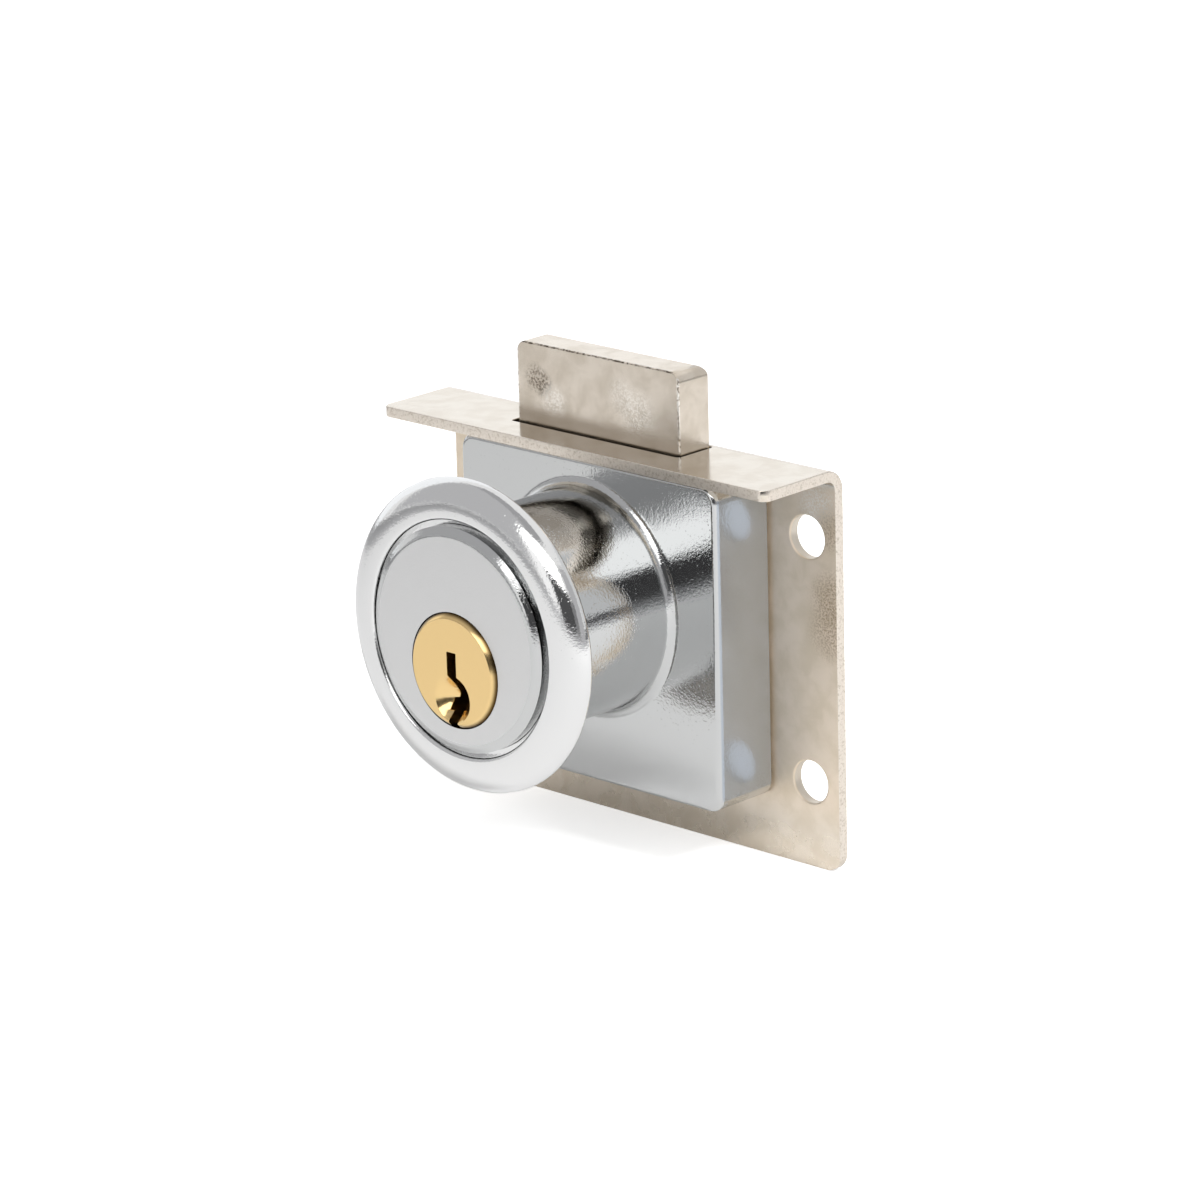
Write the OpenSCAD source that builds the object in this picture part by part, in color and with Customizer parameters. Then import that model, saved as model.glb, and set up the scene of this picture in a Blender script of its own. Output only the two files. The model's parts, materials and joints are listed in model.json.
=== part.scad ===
// Cabinet lock: a half-mortise drawer and cupboard lock with a round barrel and a sliding bolt.
// Sizes are in millimetres. The front of the lock faces -Y and the bolt moves along Z.
// The origin is the middle of the four screw holes, on the plate's front face.

/* [Plate] */
// Width of the plate and of its flange
plate_w = 50.8; // [50:0.2:60]
// Height from the plate's bottom edge to the flange's top
plate_h = 40.5; // [39:0.5:50]
// Height of the flange's top above the middle of the screw holes
flange_z = 19.6; // [19:0.1:22]
// Distance from the plate's front face to the flange's front edge
flange_d = 10; // [9:0.1:14]
// Thickness of the sheet
sheet_t = 1.1; // [0.9:0.05:1.5]
// Inside radius of the bend
bend_r = 1.1; // [0.6:0.05:1.15]
// Radius of the plate's two lower corners
plate_corner_r = 1.8; // [0.5:0.1:3]
// Radius of the flange's two front corners
flange_corner_r = 0.9; // [0.3:0.1:2]
// Distance of the screw holes' centres from the plate's side edges
hole_edge_x = 3.65; // [3.2:0.05:4.2]
// Screw hole spacing up the plate
hole_gap_z = 24.6; // [20:0.1:27]
// Screw hole diameter
hole_d = 4.3; // [3:0.1:5]

/* [Case] */
// Width of the case
case_w = 34; // [32.5:0.1:36]
// Height of the case
case_h = 32.7; // [32:0.1:34]
// Depth of the case, from the plate's front face to the case's front
case_d = 7.65; // [7.5:0.05:9]
// Gap between the case's top and the flange
case_gap = 0.6; // [0.5:0.1:1.5]
// Thickness of the case's side walls
case_wall = 1.6; // [1.2:0.1:2]
// Thickness of the case's front wall
case_front_t = 1.3; // [1:0.05:1.5]
// Radius of the case's four corners, seen from the front
case_corner_r = 1.8; // [1:0.1:2.5]
// Radius of the case's front edge
case_edge_r = 0.6; // [0.3:0.05:0.9]
// Rivet diameter
rivet_d = 2.2; // [1.6:0.1:2.6]

/* [Barrel] */
// Height of the barrel's axis above the middle of the screw holes
axis_z = 4; // [3:0.1:4.5]
// Barrel diameter
barrel_d = 22.2; // [21.6:0.1:23]
// Length of the barrel in front of the case
barrel_len = 18.5; // [18:0.1:26]
// Width of the bevel on the barrel's front face
barrel_bevel_w = 1; // [0.4:0.1:1.6]
// Depth of that bevel
barrel_bevel_h = 0.55; // [0.3:0.05:1]
// Radius of the fillet where the barrel meets the case
barrel_foot_r = 1.1; // [0.5:0.1:1.3]

/* [Plug] */
// Distance of the plug's axis below the barrel's axis
plug_drop = 2.9; // [2.5:0.05:3]
// Diameter of the plug's body
plug_body_d = 10.4; // [10:0.05:10.6]
// How far the plug's head stands out past its body
plug_rim = 0.5; // [0.3:0.05:0.7]
// Length of the plug's head
plug_head_len = 2; // [1.5:0.1:2.5]
// How far the plug's face stands proud of the barrel
plug_proud = 0.45; // [0.2:0.05:0.8]
// Bevel on the edge of the plug's face
plug_bevel = 0.5; // [0.2:0.05:0.6]
// Width of the key slot
slot_w = 1.2; // [0.9:0.05:1.5]
// Height of the key slot's top above the plug's axis
slot_top = 1.9; // [1.5:0.05:2.2]
// Radius of the countersunk lead-in at the key slot
lead_r = 2.35; // [1.5:0.05:2.5]
// Distance of the lead-in's centre below the plug's axis
lead_drop = 2.75; // [2.4:0.05:2.8]

/* [Pins] */
// Pin diameter
pin_d = 2.5; // [2.2:0.05:2.6]
// Distance from pin to pin
pin_pitch = 3; // [2.9:0.05:3.05]
// Distance from the barrel's front face to the first pin
pin_first = 3.55; // [3.4:0.05:3.8]
// Length of the driver pins
driver_len = 2.6; // [2.2:0.1:2.8]
// Height of the shallowest key cut above the plug's axis, where the shortest key pin stands
key_cut_top = 1.75; // [1.7:0.05:2]
// Step from one key depth to the next
key_step = 0.35; // [0.25:0.01:0.38]
// Wire diameter of the pin springs
spring_wire = 0.28; // [0.2:0.01:0.32]
// Width of the strip that closes the pin chambers
cover_w = 3.4; // [3.3:0.1:4.5]
// Thickness of that strip, at its middle
cover_t = 1.8; // [1.4:0.1:2]

/* [Bolt] */
// Width of the bolt
bolt_w = 21.4; // [20.8:0.1:21.6]
// Thickness of the bolt's head
bolt_t = 4.25; // [4:0.05:4.4]
// How far the locked bolt stands above the flange
bolt_out = 8.15; // [7:0.05:8.4]
// Travel of the bolt
bolt_throw = 8.4; // [8:0.05:8.6]
// Gap in front of the bolt's head, to the case's front wall
head_front_gap = 0.7; // [0.5:0.05:0.8]
// Gap between the cam and the bolt's tail
tail_cam_gap = 0.25; // [0.15:0.05:0.4]
// Radius of the head's two top corners, seen from the front
bolt_corner_r = 1.1; // [0.4:0.1:2]
// Radius of the head's back top edge
bolt_back_r = 1.1; // [0.4:0.1:1.5]
// Side clearance of the bolt in the case
bolt_fit = 0.15; // [0.1:0.01:0.25]

/* [Cam] */
// Thickness of the cam's disc
cam_t = 1.85; // [1.5:0.05:1.9]
// Diameter of the cam's eccentric pin
cam_pin_d = 2.6; // [2.2:0.1:2.8]
// Clearance round the cam's pin in the bolt
cam_pin_fit = 0.12; // [0.1:0.01:0.2]
// Width of the stop in the case that the cam turns against
stop_w = 1.9; // [1.5:0.1:2.2]
// Cam screw diameter
cam_screw_d = 1.9; // [1.6:0.1:2.2]
// Distance of each cam screw from the plug's axis
cam_screw_x = 3.1; // [3:0.05:3.3]

/* [Trim ring] */
// Width of the ring, from the barrel to its outer rim
ring_w = 4.4; // [3.8:0.1:6]
// Gap between the barrel and the ring's front opening
ring_gap = 0.55; // [0.45:0.05:0.9]
// Thickness of the ring, from its back to its front lip
ring_t = 2.4; // [2.2:0.05:3.5]
// Radius of the ring's rounded rim
ring_rim_r = 0.5; // [0.3:0.05:0.6]
// Distance from the barrel's front face back to the ring's front lip
ring_back = 0.65; // [0.3:0.05:1.5]

/* [Fits] */
// Running clearance of a round part in its bore, on the radius
run_fit = 0.05; // [0.03:0.01:0.08]
// Clearance of a fixed part in its seat
seat_fit = 0.02; // [0.01:0.01:0.03]

/* [Hidden] */

// Facets round a full circle, for turned parts and for small holes
round_fn = 96;
small_fn = 48;
// Facets round a hull's own children
soft_fn = 32;
// How far a cutting shape runs past the face that it cuts
past = 0.5;
// How far a rib, a post or a stop is rooted in the wall that carries it
root = 0.5;
// Gap between the plate and what stands or slides in the case
back_gap = 0.1;

// Plate
flange_under = flange_z - sheet_t;
hole_x = plate_w / 2 - hole_edge_x;
hole_bevel = 0.1;
// Room round the bolt in the plate's slot, and the slot's corner radius
slot_left_gap = 0.7;
slot_right_gap = 0.25;
slot_front_gap = 0.45;
slot_back_gap = 0.25;
slot_corner_r = 0.4;

// Case
case_top = flange_under - case_gap;
case_bottom = case_top - case_h;
case_back_edge = 0.4;
wall_y = -(case_d - case_front_t);
cavity_top = case_top - case_wall;
cavity_bottom = case_bottom + case_wall;
rib_t = 1.5;

// Rivets: their posts stand in the case's corners and their heads are countersunk in the plate
rivet_r = rivet_d / 2;
post_wall = 1.3;
post_inset_x = 1.55;
post_inset_z = 2.2;
rivet_x = case_w / 2 - case_wall - post_inset_x;
rivet_top_z = cavity_top - post_inset_z;
rivet_bottom_z = cavity_bottom + post_inset_z;
rivet_depth = 5.3;
rivet_end_gap = 0.2;
rivet_edge = 0.2;
rivet_head_r = rivet_r + 0.95;
rivet_cone_h = 0.8 * sheet_t;
rivet_dome = 0.2;

// Barrel
barrel_r = barrel_d / 2;
face_y = -(case_d + barrel_len);

// Plug
plug_z = axis_z - plug_drop;
plug_r = plug_body_d / 2;
plug_head_r = plug_r + plug_rim;
plug_face_y = face_y - plug_proud;
head_seat_y = plug_face_y + plug_head_len;
plug_end_y = wall_y + run_fit;
// A countersink's half angle, which gives the lead-in its depth
lead_half_angle = 45;
lead_depth = lead_r / tan(lead_half_angle);
// Each ward groove's height, its depth beside the slot, and its lower edge above the plug's axis
ward_h = 1.1;
ward_depth = 0.4;
left_ward_z = -lead_drop - 1.4;
right_ward_z = -lead_drop + 0.45;

// Pins
pin_r = pin_d / 2;
pin_count = 5;
// Key depth of each pin, from the front
key_depths = [1, 3, 0, 2, 1];
// Heights above the plug's axis: a key pin's top, a driver's foot and the bottom of a chamber
key_pin_top = plug_r - 0.2;
driver_bottom = plug_r + 0.1;
chamber_bottom = 0.25;
// Radius and height of a key pin's tip, and the broken edge of every pin
key_tip_r = 0.5;
key_tip_h = 0.7;
pin_edge = 0.15;
cover_floor_z = axis_z + barrel_r - cover_t;
driver_top_z = plug_z + driver_bottom + driver_len;
cover_end_wall = 0.35;
cover_front_y = pin_y(0) - pin_r - cover_end_wall;
cover_back_y = pin_y(pin_count - 1) + pin_r + cover_end_wall;

// Pin springs
spring_turns = 5;
spring_side_gap = 0.15;
spring_r = pin_r - spring_wire / 2 - spring_side_gap;
spring_end_gap = 0.03;
spring_h = cover_floor_z - driver_top_z - 2 * spring_end_gap;
// How far a key can lift a driver pin beyond the place shown
driver_lift = 1.4;
// A spring coil has 8 rings and each ring has 6 sides
coil_rings = 8;
wire_sides = 6;

// Cam
cam_e = bolt_throw / 2;
cam_pin_r = cam_pin_d / 2;
cam_rim = 0.9;
cam_r = cam_e + cam_pin_r + cam_rim;
cam_back_y = plug_end_y + cam_t;
cam_pin_end_gap = 0.5;
cam_pin_end_y = -back_gap - cam_pin_end_gap;
cam_pin_edge = 0.2;
// The lower half of the cam is this much smaller, and leaves the two shoulders
cam_step = 1.2;
relief_r = cam_r - cam_step;
// The stop reaches past the cam's rim, and keeps clear of its shoulders, its lower rim and the bolt
stop_r = cam_r + 1;
stop_gap = 0.08;
stop_end_gap = 0.15;
stop_back_gap = 0.1;

// Bolt
bolt_front_y = wall_y + head_front_gap;
bolt_back_y = bolt_front_y + bolt_t;
bolt_top_z = flange_z + bolt_out;
// The bolt's head ends this far above the cam when the bolt is drawn back
head_cam_gap = 0.5;
head_bottom_z = plug_z + cam_r + bolt_throw + head_cam_gap;
tail_back_y = -back_gap;
tail_front_y = cam_back_y + tail_cam_gap;
tail_top_gap = 0.2;
tail_bottom_gap = 1.3;
tail_top_z = cavity_top - tail_top_gap;
tail_bottom_z = cavity_bottom + bolt_throw + tail_bottom_gap;
tail_corner_r = 0.6;

// Cam screws, with heads sunk in the cam
screw_r = cam_screw_d / 2;
screw_head_r = screw_r + 0.65;
screw_head_h = 0.8;
screw_sink = 0.1;
screw_len = 3.4;
screw_tip = 0.3;
screw_edge = 0.15;
driver_slot_w = 0.4;
driver_slot_h = 0.3;

// Trim ring
ring_r = barrel_r + ring_w;
ring_front_y = face_y + ring_back;
ring_bore_r = barrel_r + run_fit;
ring_hole_r = barrel_r + ring_gap;
ring_fit_len = 1.3;
ring_lip_r = 0.4;
// The groove in the ring's back, between an inner and an outer wall
ring_groove = 0.8;
ring_inner_wall = 1.2;
ring_outer_wall = 0.8;

// Place along Y of pin number i, counted from the front
function pin_y(i) = face_y + pin_first + i * pin_pitch;
// Length of key pin number i
function key_pin_len(i) = key_pin_top - key_cut_top + key_step * key_depths[i];
// Centre of the cam's pin against the bolt, after the plug has turned by a
function cam_path(a) = [cam_e * sin(a), cam_e * cos(a) + bolt_throw * a / 180];

// Lays a shape drawn as seen from the front at depth y, and extrudes it towards the front
module face_on(y) {
    translate([0, y, 0]) rotate([90, 0, 0]) children();
}

// A rectangle centred on x, from y0 to y1, with round corners of radius r0 below and r1 above
module round_rect(w, y0, y1, r0, r1) {
    difference() {
        translate([-w / 2, y0]) square([w, y1 - y0]);
        for (side = [-1, 1]) {
            if (r0 > 0) translate([side * w / 2, y0]) corner_cut(-side, 1, r0);
            if (r1 > 0) translate([side * w / 2, y1]) corner_cut(-side, -1, r1);
        }
    }
}

// What a round corner of radius r takes off a square corner; the metal lies towards sx and sy
module corner_cut(sx, sy, r) {
    difference() {
        translate([sx > 0 ? -past : -r, sy > 0 ? -past : -r]) square([r + past, r + past]);
        translate([sx * r, sy * r]) circle(r, $fn = small_fn);
    }
}

module back_plate() {
    color("#cfc6b8") difference() {
        union() {
            // The upright leaf
            translate([0, sheet_t, 0]) rotate([90, 0, 0]) linear_extrude(sheet_t)
                round_rect(plate_w, flange_z - plate_h, flange_under - bend_r, plate_corner_r, 0);
            // The flange
            translate([0, 0, flange_under]) linear_extrude(sheet_t)
                round_rect(plate_w, -flange_d, -bend_r, flange_corner_r, 0);
            // The bend between them
            plate_bend();
        }
        for (sx = [-1, 1]) for (sz = [-1, 1])
            translate([sx * hole_x, 0, sz * hole_gap_z / 2]) screw_hole();
        rivet_places() rivet_seat();
        // The bolt's slot
        translate([(slot_right_gap - slot_left_gap) / 2, 0, flange_under - past])
            linear_extrude(sheet_t + 2 * past)
                round_rect(bolt_w + slot_left_gap + slot_right_gap, bolt_front_y - slot_front_gap,
                    bolt_back_y + slot_back_gap, slot_corner_r, slot_corner_r);
    }
}

module plate_bend() {
    translate([-plate_w / 2, -bend_r, flange_under - bend_r]) rotate([90, 0, 90]) linear_extrude(plate_w)
        difference() {
            circle(bend_r + sheet_t, $fn = round_fn);
            circle(bend_r, $fn = round_fn);
            translate([-2 * plate_w, -plate_w]) square([2 * plate_w, 2 * plate_w]);
            translate([-plate_w, -2 * plate_w]) square([2 * plate_w, 2 * plate_w]);
        }
}

// A hole through the upright leaf, with its front edge broken
module screw_hole() {
    face_on(sheet_t + past) cylinder(h = sheet_t + 2 * past, d = hole_d, $fn = small_fn);
    face_on(hole_bevel) cylinder(h = hole_bevel + past, d1 = hole_d, d2 = hole_d + 2 * (hole_bevel + past),
        $fn = small_fn);
}

module rivet_places() {
    for (sx = [-1, 1]) for (z = [rivet_bottom_z, rivet_top_z]) translate([sx * rivet_x, 0, z]) children();
}

// The countersunk seat of a rivet in the plate
module rivet_seat() {
    face_on(sheet_t + past) cylinder(h = sheet_t + 2 * past, r = rivet_r + seat_fit, $fn = small_fn);
    face_on(sheet_t) cylinder(h = rivet_cone_h, r1 = rivet_head_r + seat_fit, r2 = rivet_r + seat_fit,
        $fn = small_fn);
}

module case_rivets() {
    color("#b9bcc0") rivet_places() face_on(0) rotate_extrude($fn = small_fn) polygon(concat(
        [
            [0, rivet_depth],
            [rivet_r - rivet_edge, rivet_depth],
            [rivet_r, rivet_depth - rivet_edge],
            [rivet_r, rivet_cone_h - sheet_t]
        ],
        [for (a = [0:30:90]) [rivet_head_r * cos(a), -sheet_t - rivet_dome * sin(a)]]
    ));
}

module lock_case() {
    color("#c9ccd0") difference() {
        union() {
            difference() {
                case_block();
                case_cavity();
            }
            for (side = [-1, 1]) guide_rib(side);
            rivet_posts();
            turn_stop();
            translate([0, 0, axis_z]) face_on(-case_d + case_edge_r) barrel_body();
        }
        bolt_window();
        plug_bore();
        for (i = [0:pin_count - 1]) pin_chamber(i);
        cover_slot();
        rivet_places() face_on(past) cylinder(h = past + rivet_depth + rivet_end_gap, r = rivet_r + seat_fit,
            $fn = small_fn);
    }
}

// The case's outer form: a slab with round corners and a round front edge
module case_block() {
    x = case_w / 2 - case_corner_r;
    hull() for (sx = [-1, 1]) for (z = [case_bottom + case_corner_r, case_top - case_corner_r])
        translate([sx * x, 0, z]) face_on(0) corner_post();
}

module corner_post() {
    r = case_corner_r;
    e = case_edge_r;
    rotate_extrude($fn = soft_fn) polygon(concat(
        [[0, 0], [r - case_back_edge, 0], [r, case_back_edge]],
        [for (a = [0:15:90]) [r - e + e * cos(a), case_d - e + e * sin(a)]],
        [[0, case_d]]
    ));
}

module case_cavity() {
    w = case_w - 2 * case_wall;
    translate([-w / 2, wall_y, cavity_bottom]) cube([w, past - wall_y, cavity_top - cavity_bottom]);
}

// The posts that the rivets are set in, cut back where the bolt passes
module rivet_posts() {
    w = bolt_w + 2 * bolt_fit;
    y = tail_front_y - bolt_fit;
    difference() {
        rivet_places() face_on(-back_gap) cylinder(h = -wall_y - back_gap + root, r = rivet_r + post_wall,
            $fn = small_fn);
        translate([-w / 2, y, cavity_bottom]) cube([w, past - y, cavity_top - cavity_bottom]);
    }
}

// One of the two ribs that guide the bolt's sides
module guide_rib(side) {
    x = bolt_w / 2 + bolt_fit;
    translate([side > 0 ? x : -x - rib_t, wall_y - root, cavity_bottom - root])
        cube([rib_t, root - wall_y - back_gap, cavity_top - cavity_bottom + 2 * root]);
}

// The stop that ends the cam's half turn both ways
module turn_stop() {
    len = stop_r - relief_r - stop_end_gap;
    translate([-stop_r, wall_y - root, plug_z - stop_w / 2])
        cube([len, root + cam_t - stop_back_gap, stop_w]);
}

// The barrel with its foot fillet and its front bevel, from inside the case's front wall
module barrel_body() {
    h = barrel_len + case_edge_r;
    foot = case_edge_r;
    rotate_extrude($fn = round_fn) polygon(concat(
        [[0, 0], [barrel_r + barrel_foot_r, 0]],
        [for (a = [0:15:90]) [
            barrel_r + barrel_foot_r * (1 - sin(a)),
            foot + barrel_foot_r * (1 - cos(a))
        ]],
        [[barrel_r, h - barrel_bevel_h], [barrel_r - barrel_bevel_w, h], [0, h]]
    ));
}

// The opening in the case's top wall that the bolt's head slides through
module bolt_window() {
    w = bolt_w + 2 * bolt_fit;
    d = bolt_t + 2 * bolt_fit;
    translate([-w / 2, bolt_front_y - bolt_fit, cavity_top - past]) cube([w, d, case_wall + 2 * past]);
}

module plug_bore() {
    translate([0, 0, plug_z]) {
        face_on(wall_y + past) cylinder(h = case_front_t + barrel_len + past, r = plug_r + run_fit,
            $fn = round_fn);
        face_on(head_seat_y + run_fit) cylinder(h = plug_head_len + past, r = plug_head_r + run_fit,
            $fn = round_fn);
    }
}

module pin_chamber(i) {
    translate([0, pin_y(i), plug_z]) cylinder(h = cover_floor_z - plug_z + past, r = pin_r + run_fit,
        $fn = small_fn);
}

// The slot in the barrel's top for the chamber cover
module cover_slot() {
    w = cover_w + 2 * seat_fit;
    translate([-w / 2, cover_front_y - seat_fit, cover_floor_z])
        cube([w, cover_back_y - cover_front_y + 2 * seat_fit, cover_t + past]);
}

module chamber_cover() {
    color("#c9ccd0") intersection() {
        translate([0, 0, axis_z]) face_on(cover_back_y + past)
            cylinder(h = cover_back_y - cover_front_y + 2 * past, r = barrel_r, $fn = round_fn);
        translate([-cover_w / 2, cover_front_y, cover_floor_z])
            cube([cover_w, cover_back_y - cover_front_y, cover_t + past]);
    }
}

// The ring's section has its back at height 0 and its front lip at ring_t
module trim_ring() {
    rim_x = ring_r - ring_rim_r;
    dome_x = ring_hole_r + ring_lip_r;
    dome_h = ring_t - ring_rim_r;
    color("#c9ccd0") translate([0, 0, axis_z]) face_on(ring_front_y + ring_t) rotate_extrude($fn = round_fn)
        difference() {
            polygon(concat(
                [[ring_bore_r, 0], [rim_x, 0]],
                [for (a = [-75:15:0]) [rim_x + ring_rim_r * cos(a), ring_rim_r * (1 + sin(a))]],
                [for (a = [80:-10:0]) [dome_x + (ring_r - dome_x) * sin(a), ring_rim_r + dome_h * cos(a)]],
                [for (a = [75:-15:0]) [dome_x - ring_lip_r * cos(a), ring_t - ring_lip_r * (1 - sin(a))]],
                [[ring_hole_r, ring_fit_len], [ring_bore_r, ring_fit_len]]
            ));
            translate([ring_bore_r + ring_inner_wall, -past])
                square([rim_x - ring_bore_r - ring_inner_wall - ring_outer_wall, past + ring_groove]);
        }
}

module plug() {
    color("#e3c078") difference() {
        translate([0, 0, plug_z]) face_on(plug_end_y) rotate_extrude($fn = round_fn) polygon([
            [0, 0],
            [plug_r, 0],
            [plug_r, plug_end_y - head_seat_y],
            [plug_head_r, plug_end_y - head_seat_y],
            [plug_head_r, plug_end_y - plug_face_y - plug_bevel],
            [plug_head_r - plug_bevel, plug_end_y - plug_face_y],
            [0, plug_end_y - plug_face_y]
        ]);
        keyway();
        // The countersunk lead-in
        translate([0, 0, plug_z - lead_drop]) face_on(plug_face_y + lead_depth)
            cylinder(h = lead_depth, r1 = 0, r2 = lead_r, $fn = small_fn);
        for (i = [0:pin_count - 1]) translate([0, pin_y(i), plug_z + chamber_bottom])
            cylinder(h = plug_r, r = pin_r + run_fit, $fn = small_fn);
        cam_screw_places() face_on(plug_end_y + past)
            cylinder(h = past + screw_len + screw_tip, r = screw_r + seat_fit, $fn = small_fn);
    }
}

// The key's way through the plug: an upright slot with one ward groove on each side
module keyway() {
    h = plug_end_y - plug_face_y + 2 * past;
    translate([0, 0, plug_z]) face_on(plug_end_y + past) linear_extrude(h) {
        translate([-slot_w / 2, -plug_head_r - past]) square([slot_w, plug_head_r + past + slot_top]);
        translate([-slot_w / 2 - ward_depth, left_ward_z]) square([slot_w, ward_h]);
        translate([ward_depth - slot_w / 2, right_ward_z]) square([slot_w, ward_h]);
    }
}

module cam_screw_places() {
    for (side = [-1, 1]) translate([side * cam_screw_x, 0, plug_z]) children();
}

module drive_cam() {
    color("#b8a06a") difference() {
        union() {
            translate([0, 0, plug_z]) face_on(cam_back_y) linear_extrude(cam_t) cam_outline();
            translate([0, 0, plug_z + cam_e]) face_on(cam_pin_end_y) rotate_extrude($fn = small_fn) polygon([
                [0, 0],
                [cam_pin_r - cam_pin_edge, 0],
                [cam_pin_r, cam_pin_edge],
                [cam_pin_r, cam_pin_end_y - cam_back_y + root],
                [0, cam_pin_end_y - cam_back_y + root]
            ]);
        }
        cam_screw_places() {
            face_on(cam_back_y + past) cylinder(h = cam_t + 2 * past, r = screw_r + seat_fit, $fn = small_fn);
            face_on(cam_back_y + past) cylinder(h = past + screw_sink + screw_head_h,
                r = screw_head_r + seat_fit, $fn = small_fn);
        }
    }
}

// A disc cut back over its lower half, so that its two shoulders meet the stop
module cam_outline() {
    shoulder = stop_w / 2 + stop_gap;
    circle(relief_r, $fn = round_fn);
    intersection() {
        circle(cam_r, $fn = round_fn);
        translate([-2 * cam_r, shoulder]) square([4 * cam_r, 2 * cam_r]);
    }
}

module cam_screws() {
    head_y = cam_back_y - screw_sink;
    color("#9a9ea3") cam_screw_places() difference() {
        face_on(head_y) rotate_extrude($fn = small_fn) polygon([
            [0, 0],
            [screw_head_r - screw_edge, 0],
            [screw_head_r, screw_edge],
            [screw_head_r, screw_head_h],
            [screw_r, screw_head_h],
            [screw_r, screw_head_h + screw_len],
            [0, screw_head_h + screw_len + screw_tip]
        ]);
        translate([-screw_head_r - past, head_y - driver_slot_h, -driver_slot_w / 2])
            cube([2 * (screw_head_r + past), driver_slot_h + past, driver_slot_w]);
    }
}

module bolt() {
    color("#cfc6b8") difference() {
        intersection() {
            face_on(0) linear_extrude(case_d)
                round_rect(bolt_w, tail_bottom_z, bolt_top_z, tail_corner_r, bolt_corner_r);
            translate([-bolt_w, 0, 0]) rotate([90, 0, 90]) linear_extrude(2 * bolt_w) bolt_side();
        }
        // The cross slot for the cam's pin
        translate([0, 0, plug_z]) face_on(tail_back_y + past)
            linear_extrude(tail_back_y - tail_front_y + 2 * past)
                hull() for (a = [0:15:180]) translate(cam_path(a))
                    circle(cam_pin_r + cam_pin_fit, $fn = soft_fn);
    }
}

// The bolt from the side: a head in front, and a tail that runs on the plate and clears the cam
module bolt_side() {
    difference() {
        polygon([
            [tail_back_y, tail_bottom_z],
            [tail_back_y, tail_top_z],
            [bolt_back_y, tail_top_z],
            [bolt_back_y, bolt_top_z],
            [bolt_front_y, bolt_top_z],
            [bolt_front_y, head_bottom_z],
            [tail_front_y, head_bottom_z],
            [tail_front_y, tail_bottom_z]
        ]);
        translate([bolt_back_y, bolt_top_z]) corner_cut(-1, -1, bolt_back_r);
    }
}

// A pin that stands on height z at depth y, with a tip below and a broken top edge
module pin(y, z, len, tip_r, tip_h) {
    translate([0, y, z]) rotate_extrude($fn = small_fn) polygon([
        [0, 0],
        [tip_r, 0],
        [pin_r, tip_h],
        [pin_r, len - pin_edge],
        [pin_r - pin_edge, len],
        [0, len]
    ]);
}

module key_pin(i) {
    len = key_pin_len(i);
    color("#d8b45c") pin(pin_y(i), plug_z + key_pin_top - len, len, key_tip_r, key_tip_h);
}

module driver_pin(i) {
    color("#b9bcc0") pin(pin_y(i), plug_z + driver_bottom, driver_len, pin_r - pin_edge, pin_edge);
}

// Middle of a spring's wire after t turns, in a spring of height h with its foot at height 0
function coil_point(t, h) = [
    spring_r * cos(360 * t),
    spring_r * sin(360 * t),
    spring_wire / 2 + (h - spring_wire) * t / spring_turns
];

// Least gap between one turn and the next in a spring of height h
function coil_gap(h) = norm(coil_point(1, h) - coil_point(0, h)) - spring_wire;

// The wire's section at t turns, laid across the coil
function coil_ring(t, h) = [
    for (k = [0:wire_sides - 1]) let (
        a = 360 * k / wire_sides,
        r = spring_r + spring_wire / 2 * cos(a)
    ) [r * cos(360 * t), r * sin(360 * t), coil_point(t, h)[2] + spring_wire / 2 * sin(a)]
];

module pin_spring(i) {
    n = spring_turns * coil_rings;
    points = [for (j = [0:n]) each coil_ring(j / coil_rings, spring_h)];
    sides = [
        for (j = [0:n - 1]) for (k = [0:wire_sides - 1]) let (
            a = j * wire_sides + k,
            b = j * wire_sides + (k + 1) % wire_sides
        ) each [[a, b, b + wire_sides], [a, b + wire_sides, a + wire_sides]]
    ];
    foot = [for (k = [1:wire_sides - 2]) [0, k + 1, k]];
    last = n * wire_sides;
    top = [for (k = [1:wire_sides - 2]) [last, last + k, last + k + 1]];
    color("#d5d7da") translate([0, pin_y(i), driver_top_z + spring_end_gap])
        polyhedron(points = points, faces = concat(sides, foot, top), convexity = 8);
}

echo(spring_gap_at_rest = coil_gap(spring_h), spring_gap_when_lifted = coil_gap(spring_h - driver_lift));

back_plate();
lock_case();
case_rivets();
chamber_cover();
trim_ring();
plug();
drive_cam();
cam_screws();
bolt();
key_pin(0);  // key_pin_1
key_pin(1);  // key_pin_2
key_pin(2);  // key_pin_3
key_pin(3);  // key_pin_4
key_pin(4);  // key_pin_5
driver_pin(0);  // driver_pin_1
driver_pin(1);  // driver_pin_2
driver_pin(2);  // driver_pin_3
driver_pin(3);  // driver_pin_4
driver_pin(4);  // driver_pin_5
pin_spring(0);  // pin_spring_1
pin_spring(1);  // pin_spring_2
pin_spring(2);  // pin_spring_3
pin_spring(3);  // pin_spring_4
pin_spring(4);  // pin_spring_5
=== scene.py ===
"""Looks of the cabinet lock: chrome case, barrel and ring, nickel-plated plate and bolt, brass cylinder."""
import json
import math

import bmesh
import bpy
from mathutils import Matrix, Vector


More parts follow.
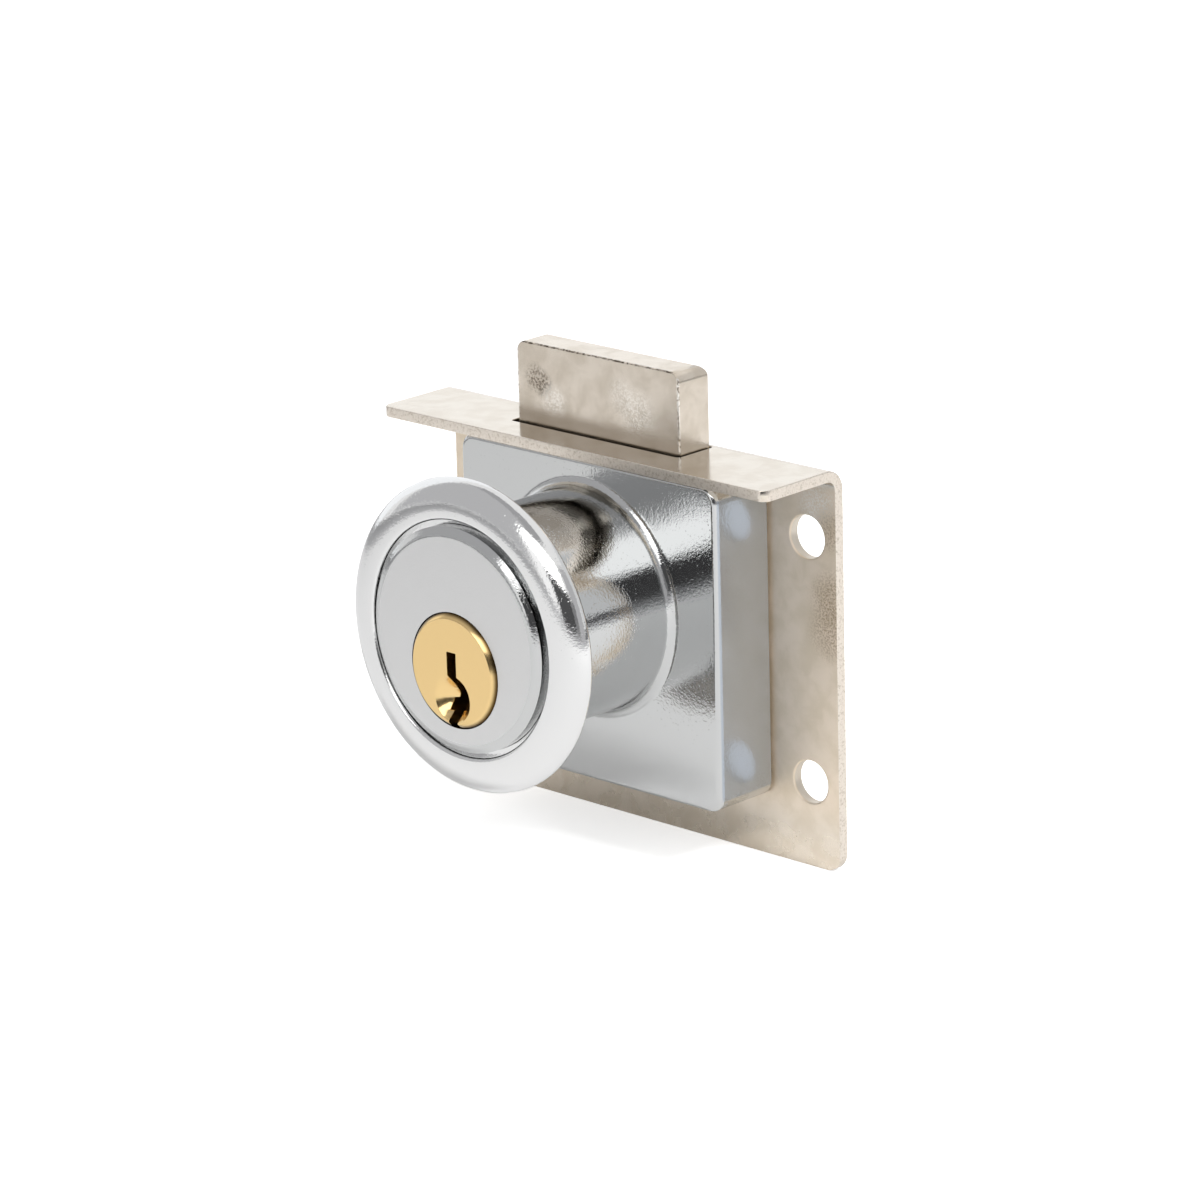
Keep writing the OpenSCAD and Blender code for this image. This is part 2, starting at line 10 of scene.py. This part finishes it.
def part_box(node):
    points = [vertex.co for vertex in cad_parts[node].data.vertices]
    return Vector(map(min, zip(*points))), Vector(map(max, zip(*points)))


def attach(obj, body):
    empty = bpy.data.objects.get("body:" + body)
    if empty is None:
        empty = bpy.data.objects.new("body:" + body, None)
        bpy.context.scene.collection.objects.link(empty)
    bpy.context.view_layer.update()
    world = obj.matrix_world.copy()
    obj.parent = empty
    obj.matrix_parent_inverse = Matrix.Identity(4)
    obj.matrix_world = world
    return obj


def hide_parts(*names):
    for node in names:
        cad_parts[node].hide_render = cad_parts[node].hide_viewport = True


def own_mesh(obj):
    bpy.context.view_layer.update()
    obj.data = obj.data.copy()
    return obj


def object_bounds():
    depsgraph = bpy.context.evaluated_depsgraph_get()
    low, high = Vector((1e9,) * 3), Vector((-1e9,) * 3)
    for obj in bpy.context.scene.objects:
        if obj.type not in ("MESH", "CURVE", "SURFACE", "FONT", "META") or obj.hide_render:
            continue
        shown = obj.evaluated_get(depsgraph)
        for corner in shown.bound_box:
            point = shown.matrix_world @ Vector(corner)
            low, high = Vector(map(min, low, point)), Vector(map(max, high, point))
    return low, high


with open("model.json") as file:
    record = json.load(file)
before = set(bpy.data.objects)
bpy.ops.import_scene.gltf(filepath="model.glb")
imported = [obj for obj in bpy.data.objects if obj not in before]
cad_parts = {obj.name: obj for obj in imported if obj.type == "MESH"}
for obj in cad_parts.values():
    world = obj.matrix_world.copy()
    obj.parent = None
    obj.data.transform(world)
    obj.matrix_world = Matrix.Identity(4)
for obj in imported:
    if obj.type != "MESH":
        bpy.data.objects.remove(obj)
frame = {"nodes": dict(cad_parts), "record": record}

MM = 0.001
CAD_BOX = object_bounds()

# Real sizes that the patterns are scaled by, in millimetres
ORANGE_PEEL = 0.26    # ripples of the casting's skin
CAST_WAVE = 3.2       # slow swells of the casting
PORE = 0.45           # from one pore of the casting to the next
PLATING_FOG = 0.05    # foggy spots in thin chrome, too fine to be told apart
PLATE_MOTTLE = 2.6    # clouds of thin and thick nickel
STEEL_GRAIN = 0.12    # the real grain is about 0.03, which would not show
SPECK = 0.22          # rust pits and bare grains
TURNING_MARK = 0.314  # the real tool marks are about 0.08 apart, which would not show
TURNED_HAZE = 0.8     # patches of duller turned metal

# Heights of the casting's bumps, in millimetres
CAST_WAVE_HEIGHT = 0.008
ORANGE_PEEL_HEIGHT = 0.014
PORE_DEPTH = 0.006
TURNING_MARK_HEIGHT = 0.0005

WAVE_PERIOD = 2 * math.pi / 20  # how often Blender's wave texture repeats at a scale of 1


def linear(code):
    """An sRGB hex colour as the linear values that Blender works in."""
    values = [int(code[i:i + 2], 16) / 255 for i in (1, 3, 5)]
    return [v / 12.92 if v <= 0.04045 else ((v + 0.055) / 1.055) ** 2.4 for v in values] + [1]


def add(tree, kind, sockets=None, **settings):
    """Adds a shader node. Settings are its own; sockets gives each input a value or an output to follow."""
    new = tree.nodes.new("ShaderNode" + kind)
    for name, value in settings.items():
        setattr(new, name, value)
    for name, value in (sockets or {}).items():
        if isinstance(value, bpy.types.NodeSocket):
            tree.links.new(value, new.inputs[name])
        else:
            new.inputs[name].default_value = value
    return new


def blank(name):
    """A new material with an empty node tree."""
    material = bpy.data.materials.new(name)
    material.use_nodes = True
    material.node_tree.nodes.clear()
    return material, material.node_tree


def per_metre(size_mm):
    """The texture scale at which one feature is this many millimetres wide."""
    return 1 / (size_mm * MM)


def steps(tree, value, low, high, to_low=0.0, to_high=1.0):
    """Carries a value smoothly from low..high to to_low..to_high and holds it beyond them."""
    sockets = {0: value, 1: low, 2: high, 3: to_low, 4: to_high}
    return add(tree, "MapRange", sockets, interpolation_type="SMOOTHSTEP").outputs[0]


def maths(tree, how, a, b=0.0):
    return add(tree, "Math", {0: a, 1: b}, operation=how).outputs[0]


def near(tree, place, centre, reach):
    """1 at a centre in mm, fading to 0 at this reach from it."""
    spot = [c * MM for c in centre]
    far = add(tree, "VectorMath", {0: place, 1: spot}, operation="DISTANCE").outputs["Value"]
    return steps(tree, far, 0.25 * reach * MM, reach * MM, 1.0, 0.0)


def between(tree, share, below, above):
    """Two numbers mixed. Each is a value or the output of a node."""
    return add(tree, "Mix", {0: share, 2: below, 3: above}, data_type="FLOAT").outputs[0]


def blend(tree, share, below, above):
    """Two colours mixed. Each is an sRGB code or the output of a node."""
    ends = [linear(c) if isinstance(c, str) else c for c in (below, above)]
    return add(tree, "Mix", {0: share, 6: ends[0], 7: ends[1]}, data_type="RGBA").outputs[2]


def bumps(tree, height, size_mm, under=None):
    """A bump of this height in mm, over another one where there is one."""
    sockets = {"Height": height, "Distance": size_mm * MM, "Strength": 1.0}
    if under is not None:
        sockets["Normal"] = under
    return add(tree, "Bump", sockets).outputs[0]


def metal(material, tree, colour, roughness, normal):
    """Ends a tree in a metal's shader."""
    shader = add(tree, "BsdfPrincipled", {"Base Color": colour, "Metallic": 1.0, "Roughness": roughness,
                                          "Normal": normal})
    add(tree, "OutputMaterial", {0: shader.outputs[0]})
    return material


SATIN_FACE = ("#d2d2d2", 0.36)  # colour and roughness of the barrel's milled face


# Chrome plating over a zinc die casting: a cool mirror with orange peel from the casting under it,
# so the edges of its reflections break up into specks. The barrel's milled face is satin. The case's
# sides are a foggy mirror, painted darker and cooler: painted shade for the dim, cool reflections in them.
def die_cast_chrome(name, base, roughness, satin_front=None, sides=None):
    material, tree = blank(name)
    place = add(tree, "TexCoord").outputs["Object"]
    parts = add(tree, "SeparateXYZ", {0: place}).outputs
    wave = add(tree, "TexNoise", {"Vector": place, "Scale": per_metre(CAST_WAVE),
                                  "Detail": 1.0}).outputs["Fac"]
    peel = add(tree, "TexNoise", {"Vector": place, "Scale": per_metre(ORANGE_PEEL), "Detail": 2.0,
                                  "Roughness": 0.6}).outputs["Fac"]
    pores = add(tree, "TexVoronoi", {"Vector": place, "Scale": per_metre(PORE), "Randomness": 1.0})
    pore_walls = steps(tree, pores.outputs["Distance"], 0.05, 0.22)
    skin = bumps(tree, wave, CAST_WAVE_HEIGHT)
    skin = bumps(tree, peel, ORANGE_PEEL_HEIGHT, skin)
    skin = bumps(tree, pore_walls, PORE_DEPTH, skin)
    haze = steps(tree, wave, 0.35, 0.75, roughness * 0.8, roughness * 1.3)
    colour = linear(base)
    if satin_front is not None:
        front = steps(tree, parts["Y"], satin_front + 0.06 * MM, satin_front + 0.02 * MM)
        haze = between(tree, front, haze, SATIN_FACE[1])
        colour = blend(tree, front, base, SATIN_FACE[0])
    # The case's sides: real fog in the roughness, and a painted darker, cooler tone standing in for the
    # dim, cool reflections seen there
    if sides is not None:
        half_width, painted_side_tone, clear, foggy = sides
        at_side = steps(tree, maths(tree, "ABSOLUTE", parts["X"]), half_width - 0.14 * MM,
                        half_width - 0.03 * MM)
        fog = add(tree, "TexNoise", {"Vector": place, "Scale": per_metre(PLATING_FOG), "Detail": 0.0})
        haze = between(tree, at_side, haze, steps(tree, fog.outputs["Fac"], 0.44, 0.56, clear, foggy))
        colour = blend(tree, at_side, colour, painted_side_tone)
    return metal(material, tree, colour, haze, skin)


# Below the bend: a lighter, warmer mottle painted on the sheet's front as painted light, and the real
# duller roughness of its plating
DULL_LIT_LEAF = ("#efe1cf", "#e4d6c1", 0.50)    # colours of its mottle, and its roughness
SHEARED_EDGE = ("#e6ddd2", "#bdb1a1", 0.30)  # bright and dark specks of a cut face, and its roughness
TORN, CHIPPED, NICKED = "#62574a", "#f8f4ee", "#6d6153"  # along the bolt's edges


# Nickel plating over cold-rolled steel: warm grey and half glossy, with a mottle of thin and thick
# plating. Cut edges are rough and pale, and rust pits and bare grains show as specks in worn spots.
def nickel_plated_steel(name, light, dark, roughness, swell=0.002, grit=0.002, cut_edge=None,
                        dull=None, burr=None, worn=()):
    material, tree = blank(name)
    place = add(tree, "TexCoord").outputs["Object"]
    cloud = add(tree, "TexNoise", {"Vector": place, "Scale": per_metre(PLATE_MOTTLE), "Detail": 4.0,
                                   "Roughness": 0.55, "Distortion": 0.3}).outputs["Fac"]
    grain = add(tree, "TexNoise", {"Vector": place, "Scale": per_metre(STEEL_GRAIN),
                                   "Detail": 2.0}).outputs["Fac"]
    speck = add(tree, "TexNoise", {"Vector": place, "Scale": per_metre(SPECK), "Detail": 3.0,
                                   "Roughness": 0.7}).outputs["Fac"]
    mottle = steps(tree, cloud, 0.34, 0.68)
    colour = blend(tree, mottle, light, dark)
    rough = steps(tree, cloud, 0.3, 0.7, roughness[0], roughness[1])
    if dull is not None:
        leaf, lit_leaf_front = dull(tree, place)
        rough = between(tree, leaf, rough, DULL_LIT_LEAF[2])
        # The leaf's front gets a lighter, warmer nickel: painted light. Its dullness is real roughness.
        colour = blend(tree, lit_leaf_front, colour, blend(tree, mottle, DULL_LIT_LEAF[0], DULL_LIT_LEAF[1]))
    for centre, reach, tone, most in worn:
        specks = steps(tree, speck, 0.43, 0.60, 0.12 * most, most)
        share = maths(tree, "MULTIPLY", near(tree, place, centre, reach), specks)
        colour = blend(tree, share, colour, tone)
    if cut_edge is not None:
        edge = cut_edge(tree, place)
        cut = blend(tree, steps(tree, speck, 0.46, 0.74), SHEARED_EDGE[0], SHEARED_EDGE[1])
        colour = blend(tree, edge, colour, cut)
        rough = between(tree, edge, rough, SHEARED_EDGE[2])
    if burr is not None:
        torn_edge, chipped_edge = burr(tree, place)
        tears = maths(tree, "MULTIPLY", torn_edge, steps(tree, speck, 0.44, 0.54))
        chips = maths(tree, "MULTIPLY", chipped_edge, steps(tree, speck, 0.46, 0.52))
        nicks = maths(tree, "MULTIPLY", chipped_edge, steps(tree, speck, 0.44, 0.38))
        for share, tone in ((tears, TORN), (chips, CHIPPED), (nicks, NICKED)):
            colour = blend(tree, share, colour, tone)
    skin = bumps(tree, grain, grit, bumps(tree, cloud, swell))
    return metal(material, tree, colour, rough, skin)


# Dark brown painted round the plug's rim: painted shade of the gap round the plug and of the dark its bevel
# mirrors
PAINTED_RIM_SHADE = "#4e3a1c"


# Turned metal: fine rings round the axis of the part, which spread its highlights across them
def turned_metal(name, base, roughness, centre, axis="Y", shaded_rim=None):
    material, tree = blank(name)
    place = add(tree, "TexCoord").outputs["Object"]
    moved = add(tree, "VectorMath", {0: place, 1: [-c for c in centre]}, operation="ADD").outputs[0]
    rings = add(tree, "TexWave", {"Vector": moved, "Scale": WAVE_PERIOD * per_metre(TURNING_MARK),
                                  "Distortion": 1.5, "Detail": 2.0, "Detail Scale": 1.5},
                wave_type="RINGS", rings_direction=axis).outputs["Fac"]
    haze = add(tree, "TexNoise", {"Vector": place, "Scale": per_metre(TURNED_HAZE),
                                  "Detail": 3.0}).outputs["Fac"]
    rough = steps(tree, haze, 0.3, 0.7, roughness * 0.85, roughness * 1.2)
    colour = linear(base)
    # The plug turns dark brown towards its rim: painted shade of the gap round it and of the dark
    # reflections in its bevel
    if shaded_rim is not None:
        flat = add(tree, "VectorMath", {0: moved, 1: (1, 0, 1)}, operation="MULTIPLY").outputs[0]
        out = add(tree, "VectorMath", {0: flat}, operation="LENGTH").outputs["Value"]
        rim_shade = steps(tree, out, shaded_rim - 0.42 * MM, shaded_rim - 0.06 * MM)
        colour = blend(tree, rim_shade, base, PAINTED_RIM_SHADE)
    return metal(material, tree, colour, rough, bumps(tree, rings, TURNING_MARK_HEIGHT))


plate_low, plate_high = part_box("back_plate")
bolt_low, bolt_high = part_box("bolt")
plug_low, plug_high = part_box("plug")
case_low, case_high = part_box("lock_case")


def beyond(tree, value, limit):
    """1 where a value is past a limit, with a soft step."""
    return steps(tree, value, limit - 0.04 * MM, limit + 0.02 * MM)


def minus(tree, value):
    return maths(tree, "MULTIPLY", value, -1.0)


def sheared_sheet(tree, place):
    """The sheet's cut faces: its two sides, the flange's front and the bottom."""
    parts = add(tree, "SeparateXYZ", {0: place}).outputs
    depth = 0.06 * MM
    side = beyond(tree, maths(tree, "ABSOLUTE", parts["X"]), plate_high.x - depth)
    front = beyond(tree, minus(tree, parts["Y"]), -plate_low.y - depth)
    below = beyond(tree, minus(tree, parts["Z"]), -plate_low.z - depth)
    return maths(tree, "MAXIMUM", maths(tree, "MAXIMUM", side, front), below)


def upright_leaf(tree, place):
    """The sheet below its bend, where the plating is duller than on the flange, and less so low down,
    and the same for its front only, where a lighter, warmer colour is painted as light."""
    parts = add(tree, "SeparateXYZ", {0: place}).outputs
    below_bend = steps(tree, parts["Z"], plate_high.z - 1.2 * MM, plate_high.z - 2.4 * MM)
    foot = steps(tree, parts["Z"], plate_low.z + 3.0 * MM, plate_low.z + 7.5 * MM, 0.35, 1.0)
    front = steps(tree, parts["Y"], 0.22 * MM, 0.08 * MM)
    leaf = maths(tree, "MULTIPLY", below_bend, foot)
    return leaf, maths(tree, "MULTIPLY", front, leaf)


def bolt_burr(tree, place):
    """The torn edge that the press left along the top of the bolt's front, and the chipped ones down it."""
    parts = add(tree, "SeparateXYZ", {0: place}).outputs
    front = beyond(tree, minus(tree, parts["Y"]), -bolt_low.y - 0.16 * MM)
    top = beyond(tree, parts["Z"], bolt_high.z - 0.16 * MM)
    side = beyond(tree, maths(tree, "ABSOLUTE", parts["X"]), bolt_high.x - 0.20 * MM)
    return maths(tree, "MULTIPLY", front, top), maths(tree, "MULTIPLY", front, side)


# Worn spots: centre and reach in mm, colour, and how much of the surface the specks cover
BARE_NICKEL, RUBBED_BROWN = "#fbf8f2", "#b29c80"
LEAF_WEAR = [((23.2, 0, 15.5), 3.2, BARE_NICKEL, 0.8),
             ((24.8, 0, 13.5), 3.0, "#ae987b", 0.7),
             ((25.0, 0, 6.5), 3.8, RUBBED_BROWN, 0.9),
             ((24.8, 0, 3.2), 3.8, RUBBED_BROWN, 0.8)]
bolt_front = bolt_low.y / MM
POLISHED = "#fdf9f2"
BOLT_WEAR = [((-8.2, bolt_front, 24.3), 1.9, "#6f6254", 0.8),
             ((-7.2, bolt_front, 23.7), 1.7, "#63574b", 0.85),
             ((-5.8, bolt_front, 22.3), 2.2, POLISHED, 0.65),
             ((3.2, bolt_front, 24.4), 2.4, POLISHED, 0.4),
             ((5.4, bolt_front, 22.8), 3.2, POLISHED, 0.6)]

plug_axis = ((plug_low.x + plug_high.x) / 2, 0, (plug_low.z + plug_high.z) / 2)
barrel_face = plug_low.y + 0.45 * MM
OWN_ORIGIN = (0, 0, 0)

# Chrome: a cool grey mirror on the case and barrel, brighter on the ring
# The case's sides are painted darker and cooler, standing in for the dim, cool reflections seen there
chrome_case = die_cast_chrome("chrome_on_die_cast_zinc", "#c5c6c6", 0.04, satin_front=barrel_face,
                              sides=(case_high.x, "#aeb5be", 0.05, 0.42))
chrome_ring = die_cast_chrome("chrome_on_turned_ring", "#dfdfdf", 0.07)
# Nickel: a warm grey that mirrors the bolt on the flange, softer and pitted on the bolt, dull on the rivets
# The sheet's leaf below the bend is duller, and its front is painted lighter and warmer: painted light
nickel_sheet = nickel_plated_steel("nickel_on_sheet_steel", "#ddd5c9", "#d4cabc", (0.13, 0.17),
                                   swell=0.0008, cut_edge=sheared_sheet, dull=upright_leaf, worn=LEAF_WEAR)
nickel_bolt = nickel_plated_steel("nickel_on_bolt_steel", "#dcd2c5", "#d1c6b7", (0.20, 0.27),
                                  swell=0.0012, grit=0.0042, burr=bolt_burr, worn=BOLT_WEAR)
rivet_steel = nickel_plated_steel("nickel_on_rivet_steel", "#d6d0c6", "#b7aea2", (0.18, 0.32))
# Brass: a pale satin gold with painted shade round the plug's rim, browner and duller on the pressed cam
brass = turned_metal("turned_brass", "#e7c88f", 0.17, plug_axis, shaded_rim=plug_high.x)
cam_brass = turned_metal("pressed_brass", "#c9b078", 0.32, plug_axis)
pin_brass = turned_metal("turned_pin_brass", "#dcbf74", 0.22, OWN_ORIGIN, axis="Z")
# White metals: a soft grey on the driver pins, bright on the spring wire, bluish and dull on the screws
nickel_silver = turned_metal("turned_nickel_silver", "#c6c5bd", 0.22, OWN_ORIGIN, axis="Z")
spring_steel = turned_metal("stainless_spring_wire", "#cfd0d2", 0.18, OWN_ORIGIN, axis="Z")
zinc_steel = turned_metal("zinc_plated_steel", "#b4b8bd", 0.28, OWN_ORIGIN)

FINISHES = {"back_plate": nickel_sheet, "lock_case": chrome_case, "chamber_cover": chrome_case,
            "trim_ring": chrome_ring, "plug": brass, "drive_cam": cam_brass, "cam_screws": zinc_steel,
            "case_rivets": rivet_steel, "bolt": nickel_bolt, "key_pin": pin_brass,
            "driver_pin": nickel_silver, "pin_spring": spring_steel}


def finish_of(node):
    """A node's own finish, or for a numbered one such as key_pin_1 that of its kind."""
    return FINISHES.get(node) or FINISHES[node.rsplit("_", 1)[0]]


for name, obj in frame["nodes"].items():
    obj.data.materials.clear()
    obj.data.materials.append(finish_of(name))


# Edges that tools left: width of the rounding in mm, for each piece that is remade from its CAD mesh
EDGES = {"back_plate": 0.10, "bolt": 0.12, "plug": 0.04, "lock_case": 0.0, "trim_ring": 0.0}
WELD = 0.0005 * MM
FLAT_WITHIN = math.radians(0.05)  # faces this close to one plane become one
ROUNDED_FROM = math.radians(40)   # edges sharper than this are rounded
SHARP_FROM = math.radians(32)     # edges sharper than this stay sharp in the shading
BEHAVIOUR = frame["record"]["behaviour"]
BODY_OF = {node: body for body, nodes in BEHAVIOUR["bodies"].items() for node in nodes}


def remake(node, edge_mm):
    """A copy of a CAD node's mesh with its corners joined, sharp edges rounded and curved faces smooth."""
    mesh = frame["nodes"][node].data.copy()
    mesh.name = node + "_finished"
    shape = bmesh.new()
    shape.from_mesh(mesh)
    bmesh.ops.remove_doubles(shape, verts=shape.verts, dist=WELD)
    bmesh.ops.dissolve_limit(shape, angle_limit=FLAT_WITHIN, verts=shape.verts, edges=shape.edges)
    if edge_mm:
        sharp = [e for e in shape.edges if e.is_manifold and e.calc_face_angle() > ROUNDED_FROM]
        bmesh.ops.bevel(shape, geom=sharp, offset=edge_mm * MM, segments=2, profile=0.5, affect="EDGES",
                        clamp_overlap=False)
    shape.to_mesh(mesh)
    shape.free()
    if mesh.attributes.get("custom_normal"):
        mesh.attributes.remove(mesh.attributes["custom_normal"])
    mesh.shade_smooth()
    mesh.set_sharp_from_angle(angle=SHARP_FROM)
    piece = bpy.data.objects.new(node + "_finished", mesh)
    bpy.context.scene.collection.objects.link(piece)
    weighted = piece.modifiers.new("flat_faces_stay_flat", "WEIGHTED_NORMAL")
    weighted.keep_sharp = True
    weighted.weight = 100
    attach(piece, BODY_OF[node])
    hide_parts(node)
    return piece


for node, edge in EDGES.items():
    remake(node, edge)

# Each pin spring, which is pressed against the chamber cover as its driver pin lifts, is remade with a mesh
# of its own
for joint in BEHAVIOUR["joints"]:
    for part in joint.get("deforming_nodes", []):
        spring = remake(part["node"], 0.0)
        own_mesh(spring)


# The camera stands in front, to the right and a little above, and is tilted a little
CAMERA_PLACE = Vector((0.3485, -0.3679, 0.15672))
YAW, PITCH, ROLL = math.radians(43.92), math.radians(16.98), math.radians(-1.54)
LENS = 161.73
SENSOR = 36

camera_data = bpy.data.cameras.new("camera")
camera_data.lens = LENS
camera_data.sensor_width = SENSOR
camera_data.clip_start = 0.01
camera_data.clip_end = 20
camera = bpy.data.objects.new("camera", camera_data)
bpy.context.scene.collection.objects.link(camera)
camera.matrix_world = (Matrix.Translation(CAMERA_PLACE) @ Matrix.Rotation(YAW, 4, "Z")
                       @ Matrix.Rotation(math.pi / 2 - PITCH, 4, "X") @ Matrix.Rotation(ROLL, 4, "Z"))
bpy.context.scene.camera = camera


# A sheet of white paper on a grey table. The metal mirrors both, and the camera sees both as white.
PAPER, TABLE = "#f2f2f2", "#b4b4b6"
PAPER_REACH = 0.25
PAPER_MIDDLE = (0.0, -0.02, 0.0)
PAPER_BORDER = 0.004
PAPER_GLOW, TABLE_GLOW = 0.58, 0.90  # added for the camera
MIRRORED_GLOW = 0.10                 # added for the metal
FLOOR_REACH = 4.0


def paper_on_table():
    material, tree = blank("white_paper_on_grey_table")
    rays = add(tree, "LightPath").outputs
    place = add(tree, "TexCoord").outputs["Object"]
    far = add(tree, "VectorMath", {0: place, 1: PAPER_MIDDLE}, operation="DISTANCE").outputs["Value"]
    on_table = steps(tree, far, PAPER_REACH - PAPER_BORDER, PAPER_REACH + PAPER_BORDER)
    colour = blend(tree, on_table, PAPER, TABLE)
    seen = maths(tree, "MAXIMUM", rays["Is Camera Ray"], rays["Is Transmission Ray"])
    to_eye = maths(tree, "MULTIPLY", seen, steps(tree, on_table, 0.0, 1.0, PAPER_GLOW, TABLE_GLOW))
    to_metal = maths(tree, "MULTIPLY", rays["Is Glossy Ray"], MIRRORED_GLOW)
    glow = add(tree, "Emission", {"Color": (1, 1, 1, 1), "Strength": maths(tree, "ADD", to_eye, to_metal)})
    sheet = add(tree, "BsdfDiffuse", {"Color": colour})
    both = add(tree, "AddShader", {0: sheet.outputs[0], 1: glow.outputs[0]})
    add(tree, "OutputMaterial", {0: both.outputs[0]})
    return material


def rectangle(name, half_width, half_height):
    """A flat mesh round its own middle."""
    w, h = half_width, half_height
    mesh = bpy.data.meshes.new(name)
    mesh.from_pydata([(-w, -h, 0), (w, -h, 0), (w, h, 0), (-w, h, 0)], [], [(0, 1, 2, 3)])
    return mesh


floor = bpy.data.objects.new("floor", rectangle("floor", FLOOR_REACH, FLOOR_REACH))
floor.location.z = CAD_BOX[0].z
bpy.context.scene.collection.objects.link(floor)
floor.data.materials.append(paper_on_table())


# The room is white where it is seen or mirrored, and dim where it lights the paper
ROOM_LIGHT = 0.30

world = bpy.data.worlds.new("studio")
bpy.context.scene.world = world
world.use_nodes = True
room = world.node_tree
room.nodes.clear()
room_rays = add(room, "LightPath").outputs
visible = maths(room, "MAXIMUM", room_rays["Is Camera Ray"], room_rays["Is Glossy Ray"])
visible = maths(room, "MAXIMUM", visible, room_rays["Is Transmission Ray"])
level = steps(room, visible, 0.0, 1.0, ROOM_LIGHT, 1.0)
sky = add(room, "Background", {"Color": (1, 1, 1, 1), "Strength": level})
add(room, "OutputWorld", {0: sky.outputs[0]})


MIDDLE = (CAD_BOX[0] + CAD_BOX[1]) / 2
MIDDLE.y = -0.015


def towards(azimuth, elevation, distance):
    """A place at this azimuth and elevation from the lock. Azimuth 0 is in front and 90 on the right."""
    a, e = math.radians(azimuth), math.radians(elevation)
    return MIDDLE + distance * Vector((math.sin(a) * math.cos(e), -math.cos(a) * math.cos(e), math.sin(e)))


def face_lock(obj, azimuth, elevation, distance, spin):
    """Puts a lamp or a card at this place, facing the lock."""
    obj.location = towards(azimuth, elevation, distance)
    aim = (MIDDLE - obj.location).to_track_quat("-Z", "Y")
    obj.rotation_mode = "QUATERNION"
    obj.rotation_quaternion = aim @ Matrix.Rotation(math.radians(spin), 4, "Z").to_quaternion()


def half_span(angle, distance):
    """Half the size of something that spans this many degrees as seen from the lock."""
    return distance * math.tan(math.radians(angle / 2))


def card(name, azimuth, elevation, width, height, distance, tone, spin=0.0):
    """A card that only the metal sees: width and height in degrees as seen from the lock."""
    mesh = rectangle(name, half_span(width, distance), half_span(height, distance))
    material, tree = blank(name)
    glow = add(tree, "Emission", {"Color": (*tone, 1), "Strength": 1.0})
    add(tree, "OutputMaterial", {0: glow.outputs[0]})
    mesh.materials.append(material)
    obj = bpy.data.objects.new(name, mesh)
    bpy.context.scene.collection.objects.link(obj)
    face_lock(obj, azimuth, elevation, distance, spin)
    obj.visible_camera = False
    obj.visible_diffuse = False
    obj.visible_shadow = False
    obj.visible_transmission = False


def softbox(name, azimuth, elevation, width, height, distance, radiance, mirrored=True, spin=0.0):
    """A lamp of even radiance: width and height in degrees as seen from the lock."""
    lamp = bpy.data.lights.new(name, "AREA")
    lamp.shape = "RECTANGLE"
    lamp.size = 2 * half_span(width, distance)
    lamp.size_y = 2 * half_span(height, distance)
    lamp.energy = radiance * math.pi * lamp.size * lamp.size_y
    obj = bpy.data.objects.new(name, lamp)
    bpy.context.scene.collection.objects.link(obj)
    face_lock(obj, azimuth, elevation, distance, spin)
    obj.visible_camera = False
    obj.visible_glossy = mirrored


softbox("softbox_front", 14, 31, 58, 29, 0.8, 1.5, spin=7)
softbox("softbox_above", 5, 66, 66, 60, 1.0, 0.88, mirrored=False)
softbox("key_right", 98, 46, 12, 12, 0.55, 45.0, mirrored=False)
card("white_panel_low", -6, 7, 14, 26, 0.75, (1.2, 1.2, 1.2))
card("white_panel_left", -116, 16, 70, 62, 0.7, (1.16, 1.18, 1.20))
card("grey_card_behind_right", 136, 26, 44, 44, 0.7, (0.78, 0.79, 0.80))
card("grey_card_left", -43, 32, 57, 60, 0.6, (0.58, 0.58, 0.59))
card("grey_card_above", -22, 65, 60, 40, 0.85, (0.44, 0.44, 0.45))
card("dark_card_front", 30, 11, 52, 23, 0.55, (0.095, 0.095, 0.097), spin=10)
card("grey_card_front_right", 60, 12, 18, 20, 0.57, (0.26, 0.26, 0.265))
card("grey_card_low_front", 40, -4, 52, 14, 0.60, (0.44, 0.44, 0.45), spin=8)
card("dark_strip_right", 126, 1, 44, 5, 0.55, (0.14, 0.14, 0.145))
card("grey_card_right", 86, 18, 46, 56, 0.7, (0.55, 0.55, 0.56))
card("grey_card_behind", 182, 15, 44, 60, 0.7, (0.75, 0.75, 0.76))


scene = bpy.context.scene
scene.view_settings.view_transform = "Standard"
